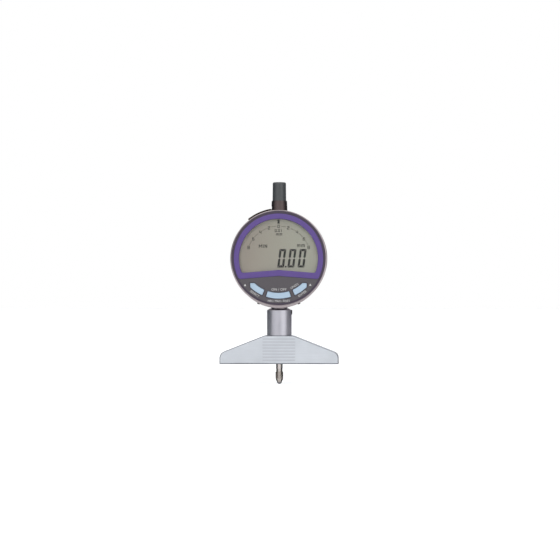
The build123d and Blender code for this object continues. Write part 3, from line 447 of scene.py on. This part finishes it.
# %% Moulded plastics
def moulded(name, pale, deep, roughness, pits, depth, coat=0.0):
    """A moulded plastic or rubber, with the mould's texture in it."""
    material, tree, shader = start_finish(name, IOR=1.5, Coat_Weight=coat, Coat_Roughness=0.12)
    cells = add(tree, "TexVoronoi", {"Vector": place(tree), "Scale": per(pits)}, feature="SMOOTH_F1")
    slow = add(tree, "TexNoise", {"Vector": place(tree), "Scale": per(5.0), "Detail": 4})
    tone = add(tree, "MixRGB", {0: slow.outputs[0], 1: linear(deep), 2: linear(pale)})
    tree.links.new(tone.outputs[0], shader.inputs["Base Color"])
    rough = add(tree, "MapRange", {"Value": slow.outputs[0], "From Min": 0.3, "From Max": 0.7,
                                   "To Min": roughness - 0.04, "To Max": roughness + 0.05})
    tree.links.new(rough.outputs[0], shader.inputs["Roughness"])
    bump = add(tree, "Bump", {"Height": cells.outputs["Distance"], "Strength": 0.5, "Distance": depth * mm})
    tree.links.new(bump.outputs[0], shader.inputs["Normal"])
    return material


# Dark and a little violet, with a dull sparkle from its pits.
cover_finish = moulded("dark ABS, spark eroded", "473a4c", "3a2f40", 0.42, 0.35, 0.01)
# A strong violet with a thin gloss over it.
bezel_finish = moulded("violet ABS, satin", "68509c", "5f4792", 0.4, 0.3, 0.006, 0.15)
# Pale and clean, softer in its highlight than the bezel.
key_finish = moulded("pale blue silicone key, coated", "cde5fa", "c1daf1", 0.38, 0.25, 0.004, 0.2)
# Acetal is waxy, so black looks dark grey in it.
cap_finish = moulded("black acetal, moulded", "505355", "434648", 0.34, 0.4, 0.006)
# Inside: pale plastic round the display, then dull rubbers that hardly reflect.
holder_finish = moulded("grey polycarbonate", "b9bcbc", "a8abac", 0.45, 0.3, 0.006)
rubber_finish = moulded("black silicone rubber", "2b2b2c", "202021", 0.62, 0.3, 0.008)
mat_finish = moulded("grey silicone rubber", "8c8f92", "7b7e82", 0.6, 0.3, 0.008)
dress(cover_finish, "front_cover")
dress(bezel_finish, "display_bezel")
dress(key_finish, "button_left", "button_center", "button_right")
dress(cap_finish, "dust_cap")
dress(holder_finish, "lcd_holder")
dress(rubber_finish, "stop_washer", "lcd_connector")
dress(mat_finish, "key_mat")
print("finished so far:", len(finished), "solids")

# %% [markdown]
# The fascia is polyester film, printed on its back, so the colour lies under a clear skin. The display is
# glass over a grey reflector whose grain sparkles a little. Its colour is painted darker and warmer at the
# left and paler and greener at the right: painted shade and light, as if light came from one side.

# %% Film and display glass
# Dark grey, and so even that only its clear skin tells it from the plastic round it.
film_finish, tree, shader = start_finish("printed polyester film", IOR=1.58, Roughness=0.4, Coat_Weight=0.25,
                                         Coat_Roughness=0.2)
speck = add(tree, "TexNoise", {"Vector": place(tree), "Scale": per(0.25), "Detail": 2})
tone = add(tree, "MixRGB", {0: speck.outputs[0], 1: linear("47424a"), 2: linear("544e52")})
tree.links.new(tone.outputs[0], shader.inputs["Base Color"])
bump = add(tree, "Bump", {"Height": speck.outputs[0], "Strength": 0.3, "Distance": 0.004 * mm})
tree.links.new(bump.outputs[0], shader.inputs["Normal"])

# A pale matt grey, because the light comes back from a reflector behind the glass.
panel_finish, tree, shader = start_finish("reflective display glass", IOR=1.52, Roughness=0.32,
                                          Specular_IOR_Level=0.3)
grain = add(tree, "TexNoise", {"Vector": place(tree), "Scale": per(0.12), "Detail": 1})
# Painted shade and light: the display is darker and warmer at the left, paler and greener at the right.
sweep = add(tree, "SeparateXYZ", {0: place(tree)})
across = add(tree, "MapRange", {"Value": sweep.outputs[0], "From Min": -0.02, "From Max": 0.012})
painted_side_shade = add(tree, "MixRGB", {0: across.outputs[0], 1: linear("a79689"), 2: linear("bbbdac")})
tone = add(tree, "MixRGB", {0: grain.outputs[0], 1: painted_side_shade.outputs[0], 2: linear("bcb8ab")})
tree.links.new(tone.outputs[0], shader.inputs["Base Color"])
bump = add(tree, "Bump", {"Height": grain.outputs[0], "Strength": 0.2, "Distance": 0.003 * mm})
tree.links.new(bump.outputs[0], shader.inputs["Normal"])

dress(film_finish, "fascia_sheet")
dress(panel_finish, "lcd_panel")
print("finished so far:", len(finished), "solids")

# %% [markdown]
# Boards are woven glass under green lacquer. The weave is about half a millimetre apart and is drawn as a
# broad ripple. The scale is glass with a chrome grating, whose lines are a hundredth of a millimetre apart,
# so they are drawn as broad bands.

# %% Boards and the glass scale
# Lacquer is smooth, so a board shines evenly whatever lies under it.
board_finish, tree, shader = start_finish("fibreglass board, green solder mask", IOR=1.5, Roughness=0.35)
weave = add(tree, "TexWave", {"Vector": place(tree), "Scale": per(6.0), "Distortion": 0.5})
tone = add(tree, "MixRGB", {0: weave.outputs[1], 1: linear("1d5a3a"), 2: linear("256b46")})
tree.links.new(tone.outputs[0], shader.inputs["Base Color"])

# Bright and dark by turns, with the sharp gloss of glass.
scale_finish, tree, shader = start_finish("glass scale with a chrome grating", IOR=1.52, Roughness=0.12)
grating = add(tree, "TexWave", {"Vector": place(tree), "Scale": per(3.0)}, bands_direction="Z")
tone = add(tree, "MixRGB", {0: grating.outputs[1], 1: linear("8f9499"), 2: linear("c9d0d4")})
tree.links.new(tone.outputs[0], shader.inputs["Base Color"])

dress(board_finish, "circuit_board", "read_head")
dress(scale_finish, "linear_scale")
print("finished so far:", len(finished), "solids")

# %% [markdown]
# The window is clear acrylic. Real acrylic lets light through to the display, but a path tracer finds
# lamps through glass only by luck. Letting shadow rays pass straight through gives the same look.

# %% Clear window
# Only its gloss shows, with a trace of smear in it.
window_finish, tree, shader = start_finish("clear cast acrylic", IOR=1.49, Transmission_Weight=1.0)
smear = add(tree, "TexNoise", {"Vector": place(tree), "Scale": per(8.0), "Detail": 3})
rough = add(tree, "MapRange", {"Value": smear.outputs[0], "To Min": 0.0, "To Max": 0.04})
tree.links.new(rough.outputs[0], shader.inputs["Roughness"])
rays = add(tree, "LightPath")
clear = add(tree, "BsdfTransparent", {"Color": linear("f8faf8")})
pass_on = add(tree, "MixShader", {0: rays.outputs["Is Shadow Ray"], 1: shader.outputs[0], 2: clear.outputs[0]})
output = next(n for n in tree.nodes if n.type == "OUTPUT_MATERIAL")
tree.links.new(pass_on.outputs[0], output.inputs["Surface"])
dress(window_finish, "display_window")
print("finished:", len(finished), "of", len(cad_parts), "solids")

# %% [markdown]
# Print and display segments are shapes a few hundredths of a millimetre thick. Each is drawn as flat
# outlines in millimetres about the face's centre, and one function lifts all of them into a single mesh
# that lies on the face of the solid behind it.

# %% Thin shapes on a face
def thin_shapes(name, outlines, front, thickness, material):
    """One mesh of flat shapes that stand on a face at depth front and rise towards the viewer."""
    rooted = 0.005 * mm
    sheet = bmesh.new()
    for outline in outlines:
        ring = [sheet.verts.new((x * mm, front - rooted, face_centre + z * mm)) for x, z in outline]
        flat = sheet.faces.new(ring)
        grown = bmesh.ops.extrude_face_region(sheet, geom=[flat])
        moved = [v for v in grown["geom"] if isinstance(v, bmesh.types.BMVert)]
        bmesh.ops.translate(sheet, verts=moved, vec=(0, -thickness * mm, 0))
    bmesh.ops.recalc_face_normals(sheet, faces=sheet.faces)
    mesh = bpy.data.meshes.new(name)
    sheet.to_mesh(mesh)
    sheet.free()
    mesh.materials.append(material)
    piece = bpy.data.objects.new(name, mesh)
    scene.collection.objects.link(piece)
    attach(piece, "gauge")
    print(name, len(outlines), "shapes,", len(mesh.polygons), "faces")


def words(text, x, z, height, turn=0, spread=1.0):
    """The outlines of a word as filled triangles, centred on a point of the face, turned in degrees."""
    capital_share = 0.7
    data = bpy.data.curves.new("word", "FONT")
    data.body = text
    data.size = height / capital_share
    data.align_x = "CENTER"
    data.align_y = "CENTER"
    data.resolution_u = 3
    holder = bpy.data.objects.new("word", data)
    mesh = bpy.data.meshes.new_from_object(holder)
    rotation = Matrix.Rotation(radians(turn), 2)
    spots = [rotation @ Vector((v.co.x * spread, v.co.y)) + Vector((x, z)) for v in mesh.vertices]
    shapes = [[tuple(spots[i]) for i in face.vertices] for face in mesh.polygons]
    bpy.data.objects.remove(holder)
    bpy.data.meshes.remove(mesh)
    bpy.data.curves.remove(data)
    return shapes


print("helpers for print ready")

# %% [markdown]
# A digit on such a display is seven bars with mitred ends and a hairline between them, leaning 7.5
# degrees. A nought lights six of them, all but the middle one: a bar at the top, two at the left, and
# their mirror images.

# %% Display digits
def nought(x, z, width, height, bar, hairline, lean):
    """The six lit bars of a nought, in millimetres from its lower left corner."""
    w, h, s, g = width, height, bar, hairline
    top = [(g, h), (w - g, h), (w - s - g, h - s), (s + g, h - s)]
    left = [(0, h - g), (s, h - s - g), (s, h / 2 + s / 2), (s / 2, h / 2 + g), (0, h / 2 + s / 2)]
    upper = [top, left, [(w - a, b) for a, b in left]]
    bars = upper + [[(a, h - b) for a, b in outline] for outline in upper]
    slope = tan(radians(lean))
    return [[(x + a + b * slope, z + b) for a, b in outline] for outline in bars]


# Nearly black, and it hardly shines, since it lies behind polarised glass.
ink, tree, shader = start_finish("dark liquid crystal", IOR=1.5, Roughness=0.35, Specular_IOR_Level=0.1)
speck = add(tree, "TexNoise", {"Vector": place(tree), "Scale": per(0.15), "Detail": 1})
tone = add(tree, "MixRGB", {0: speck.outputs[0], 1: linear("0d0c0b"), 2: linear("161413")})
tree.links.new(tone.outputs[0], shader.inputs["Base Color"])

digits_low, digit_sides = -5.75, (-0.9, 5.5, 11.85)
digit_width, digit_height, digit_bar, digit_gap, digit_lean = 4.3, 11.6, 1.4, 0.11, 7.5
shown = []
for left_side in digit_sides:
    shown += nought(left_side, digits_low, digit_width, digit_height, digit_bar, digit_gap, digit_lean)
point_left, point_width, point_height, point_shift = 3.9, 1.0, 1.05, 0.14
shown.append([
    (point_left, digits_low), (point_left + point_width, digits_low),
    (point_left + point_width + point_shift, digits_low + point_height),
    (point_left + point_shift, digits_low + point_height)])
thin_shapes("display_digits", shown, panel_front, 0.05, ink)

# %% [markdown]
# Signs this small are lit shapes of one width, with square ends. Each is a list of strokes from point to
# point, drawn one by one or in millimetres. A stroke becomes a rectangle that runs half its width past
# both ends, so that strokes close their corners.

# %% Small signs as strokes
def strokes(lines, x, z, width, wide, high):
    """Straight strokes of one width from a lower left corner. The sign is stretched wide and high."""
    shapes = []
    for x0, z0, x1, z1 in lines:
        first, last = Vector((x + x0 * wide, z + z0 * high)), Vector((x + x1 * wide, z + z1 * high))
        along = (last - first).normalized() * width / 2
        across = Vector((-along.y, along.x))
        first, last = first - along, last + along
        shapes.append([tuple(p) for p in (first + across, first - across, last - across, last + across)])
    return shapes


ring_of_four = [(0, 0, 0, 1), (0, 1, 1, 1), (1, 1, 1, 0), (1, 0, 0, 0)]
small_number = {
    0: ring_of_four,
    1: [(0.6, 0, 0.6, 1)],
    2: [(0, 1, 1, 1), (1, 1, 1, 0.5), (1, 0.5, 0, 0.5), (0, 0.5, 0, 0), (0, 0, 1, 0)],
    4: [(0, 1, 0, 0.45), (0, 0.45, 1, 0.45), (1, 1, 1, 0)],
    6: [(1, 1, 0, 1), (0, 1, 0, 0), (0, 0, 1, 0), (1, 0, 1, 0.55), (1, 0.55, 0, 0.55)],
    8: ring_of_four + [(0, 0.5, 1, 0.5)],
}
print(len(small_number), "small numbers ready")

# %% [markdown]
# Above the digits an arc of fine ticks, broken by a number at every tenth, and a short bar at the middle
# copy a dial. The ticks are 0.6 mm apart, as fine as such a display has them, and five show of each ten.

# %% Dial arc, numbers and pointer
def radial_bar(angle, inner, outer, width):
    """A short bar that points at the centre, at an angle from the top, clockwise."""
    turn = radians(angle)
    out = Vector((sin(turn), cos(turn)))
    across = Vector((cos(turn), -sin(turn))) * width / 2
    low, high = out * inner, out * outer
    return [tuple(p) for p in (low - across, high - across, high + across, low + across)]


tick_turn, tick_inner, tick_outer, tick_width = 1.75, 20.0, 20.5, 0.26
number_radius, number_width, number_height, number_stroke = 20.1, 1.1, 1.7, 0.34
pointer_inner, pointer_outer, pointer_width = 21.8, 24.4, 1.35
arc = []
for step in range(-40, 41):
    if 3 <= step % 10 <= 7:
        arc.append(radial_bar(step * tick_turn, tick_inner, tick_outer, tick_width))
for step in range(-4, 5):
    turn = radians(step * 10 * tick_turn)
    left_side = number_radius * sin(turn) - number_width / 2
    low_side = number_radius * cos(turn) - number_height / 2
    arc += strokes(small_number[2 * abs(step)], left_side, low_side, number_stroke, number_width, number_height)
arc.append(radial_bar(0, pointer_inner, pointer_outer, pointer_width))
thin_shapes("dial_arc", arc, panel_front, 0.04, ink)

# %% [markdown]
# The display's words are plain ones that any gauge has: the smallest value held, the unit, and what one
# step of the dial is worth. Each row of the table is one sign with its place and size.

# %% Words on the display
capital_m = [(0, 0, 0, 1.8), (0, 1.8, 0.8, 0.7), (0.8, 0.7, 1.6, 1.8), (1.6, 1.8, 1.6, 0)]
capital_i = [(0, 0, 0, 1.8)]
capital_n = [(0, 0, 0, 1.8), (0, 1.8, 1.2, 0), (1.2, 0, 1.2, 1.8)]
small_m = [(0, 0, 0, 1.3), (0, 1.3, 1.7, 1.3), (0.85, 1.3, 0.85, 0), (1.7, 1.3, 1.7, 0)]
dot = [(0, 0, 0.1, 0)]
signs = (
    # strokes, left side, low side and stroke width in millimetres, stretch across and up
    (capital_m, -12.2, 6.8, 0.42, 1.0, 1.0),
    (capital_i, -9.6, 6.8, 0.42, 1.0, 1.0),
    (capital_n, -8.6, 6.8, 0.42, 1.0, 1.0),
    (small_m, 11.8, 7.3, 0.4, 1.0, 1.0),
    (small_m, 14.5, 7.3, 0.4, 1.0, 1.0),
    (small_number[0], -2.3, 16.7, 0.3, 0.85, 1.5),
    (small_number[0], -0.2, 16.7, 0.3, 0.85, 1.5),
    (small_number[1], 1.25, 16.7, 0.3, 0.85, 1.5),
    (dot, -0.88, 16.72, 0.34, 1.0, 1.0),
    (small_m, -1.5, 14.5, 0.34, 0.8, 0.8),
    (small_m, 0.7, 14.5, 0.34, 0.8, 0.8),
)
small = []
for sign, left_side, low_side, width, wide, high in signs:
    small += strokes(sign, left_side, low_side, width, wide, high)
thin_shapes("display_words", small, panel_front, 0.04, ink)

# %% [markdown]
# The film has white print beside the keys. The words here are plain key words, each turned to follow the
# ring of keys. A text curve fills its own letters, so it gives the outlines, and the curve is thrown away.

# %% Fascia print
# Matt and a little thin, so it is not quite white.
white_ink, tree, shader = start_finish("white screen ink", IOR=1.5, Roughness=0.5)
speck = add(tree, "TexNoise", {"Vector": place(tree), "Scale": per(0.3), "Detail": 1})
tone = add(tree, "MixRGB", {0: speck.outputs[0], 1: linear("dedcda"), 2: linear("ecebea")})
tree.links.new(tone.outputs[0], shader.inputs["Base Color"])


def along_ring(text, angle, radius, height):
    """A word that follows the ring of keys, at an angle from the bottom, positive to the right."""
    turn = radians(angle)
    return words(text, radius * sin(turn), -radius * cos(turn), height, angle)


inner_ring, outer_ring, letter = 20.2, 26.8, 1.4
print_shapes = words("ON / OFF", 0.3, -19.6, 1.45, 0, 1.1)
print_shapes += words("MIN / MAX / RESET", 0.3, -outer_ring, letter, 0, 0.85)
print_shapes += along_ring("SELECT", -34, outer_ring, letter)
print_shapes += along_ring("ENTER", 34, outer_ring, letter)
print_shapes += along_ring("UNITS", 30, inner_ring, letter)
arrow_wide, arrow_high = 0.75, 0.7
for x, z in ((-21.0, -16.7), (20.0, -16.5)):
    print_shapes.append([(x - arrow_wide, z - arrow_high), (x + arrow_wide, z - arrow_high), (x, z + arrow_high)])
thin_shapes("fascia_print", print_shapes, film_front, 0.02, white_ink)

# %% [markdown]
# The back cover's four screws have cross recesses. They could be cut with a boolean, but a flat curve of
# two outlines, a circle with a cross inside it, fills itself and leaves the cross open, and its bevel
# breaks the edges.

# %% Plates with holes
def plate(outlines, middle, thickness, edge):
    """A flat plate in the XY plane, in millimetres, whose inner outlines are holes."""
    data = bpy.data.curves.new("plate", "CURVE")
    data.dimensions = "2D"
    data.fill_mode = "BOTH"
    data.extrude = (thickness / 2 - edge) * mm
    data.bevel_depth = edge * mm
    for outline in outlines:
        line = data.splines.new("POLY")
        line.points.add(len(outline) - 1)
        for spot, (x, y) in zip(line.points, outline):
            spot.co = (x * mm, y * mm, 0, 1)
        line.use_cyclic_u = True
    holder = bpy.data.objects.new("plate", data)
    mesh = bpy.data.meshes.new_from_object(holder)
    mesh.transform(Matrix.Translation((0, 0, middle * mm)))
    bpy.data.objects.remove(holder)
    return mesh


def circle(radius, sides=40):
    """The outline of a circle."""
    return [(radius * cos(2 * pi * i / sides), radius * sin(2 * pi * i / sides)) for i in range(sides)]


print("helpers for plates ready")

# %% [markdown]
# The plate with the cross is the top of the head. A plate under it is the recess's floor, and a shank goes
# down into the boss. Nobody lines screws up, so each is turned its own way. They take the place of the
# plain solids.

# %% Cross recess screws
head_radius, head_depth, recess_depth, shank_radius, screw_length = 1.6, 0.75, 0.5, 0.8, 5.0
arm, blade = 0.95, 0.24
cross = [(arm, -blade), (arm, blade), (blade, blade), (blade, arm), (-blade, arm), (-blade, blade),
         (-arm, blade), (-arm, -blade), (-blade, -blade), (-blade, -arm), (blade, -arm), (blade, -blade)]
layers = [
    plate([circle(head_radius - 0.08), cross], -recess_depth / 2, recess_depth, 0.06),
    plate([circle(head_radius - 0.04)], -(recess_depth + head_depth) / 2, head_depth - recess_depth, 0.0),
    plate([circle(shank_radius, 20)], -(head_depth + screw_length) / 2, screw_length - head_depth, 0.1),
]
screw_low, screw_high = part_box("back_cover_screws")
reach = screw_high.x - head_radius * mm
cluster = bmesh.new()
for number, (side, up) in enumerate(((1, 1), (-1, 1), (-1, -1), (1, -1))):
    seat = Matrix.Translation((side * reach, screw_high.y, face_centre + up * reach))
    turned = seat @ Matrix.Rotation(-pi / 2, 4, "X") @ Matrix.Rotation(radians(20 + 31 * number), 4, "Z")
    for layer in layers:
        first = len(cluster.verts)
        cluster.from_mesh(layer)
        cluster.verts.ensure_lookup_table()
        bmesh.ops.transform(cluster, matrix=turned, verts=cluster.verts[first:])
screw_mesh = bpy.data.meshes.new("cross_screws")
cluster.to_mesh(screw_mesh)
cluster.free()
screw_mesh.materials.append(screw_finish)
cross_screws = bpy.data.objects.new("cross_screws", screw_mesh)
scene.collection.objects.link(cross_screws)
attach(cross_screws, "gauge")
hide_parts("back_cover_screws")
print("four cross recess screws,", len(screw_mesh.polygons), "faces")

# %% [markdown]
# The return spring is hidden in the case. A helix of points, closed at both ends as a wound spring is,
# becomes a curve with a round wire, then a mesh, and it takes the place of the plain solid. On the real
# gauge its top end stays under the bushing while its foot goes up with the carrier.

# %% Return spring
spring_low, spring_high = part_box("return_spring")
wire_radius = 0.2 * mm
coil_radius = spring_high.x - wire_radius
turns, closed_turns, points_a_turn = 11, 1.0, 16
foot, head = spring_low.z + wire_radius, spring_high.z - wire_radius
closed_rise = 2.1 * wire_radius * closed_turns
spring_curve = bpy.data.curves.new("spring wire", "CURVE")
spring_curve.dimensions = "3D"
spring_curve.bevel_depth = wire_radius
spring_curve.bevel_resolution = 2
spring_curve.use_fill_caps = True
wire = spring_curve.splines.new("POLY")
wire.points.add(turns * points_a_turn)
for number, spot in enumerate(wire.points):
    turn = number / points_a_turn
    open_share = min(max((turn - closed_turns) / (turns - 2 * closed_turns), 0), 1)
    closed = min(turn, closed_turns) + max(turn - turns + closed_turns, 0)
    height = foot + closed / closed_turns * closed_rise + open_share * (head - foot - 2 * closed_rise)
    spot.co = (coil_radius * cos(2 * pi * turn), coil_radius * sin(2 * pi * turn), height, 1)
holder = bpy.data.objects.new("spring wire", spring_curve)
spring_mesh = bpy.data.meshes.new_from_object(holder)
bpy.data.objects.remove(holder)
spring_mesh.name = "coil_spring"
spring_mesh.materials.clear()
spring_mesh.materials.append(spring_finish)
coil_spring = bpy.data.objects.new("coil_spring", spring_mesh)
scene.collection.objects.link(coil_spring)
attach(coil_spring, "gauge")
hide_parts("return_spring")
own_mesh(coil_spring)

# %% Sizes and finish
print("CAD box", [[round(v / mm, 2) for v in c] for c in cad_bounds])
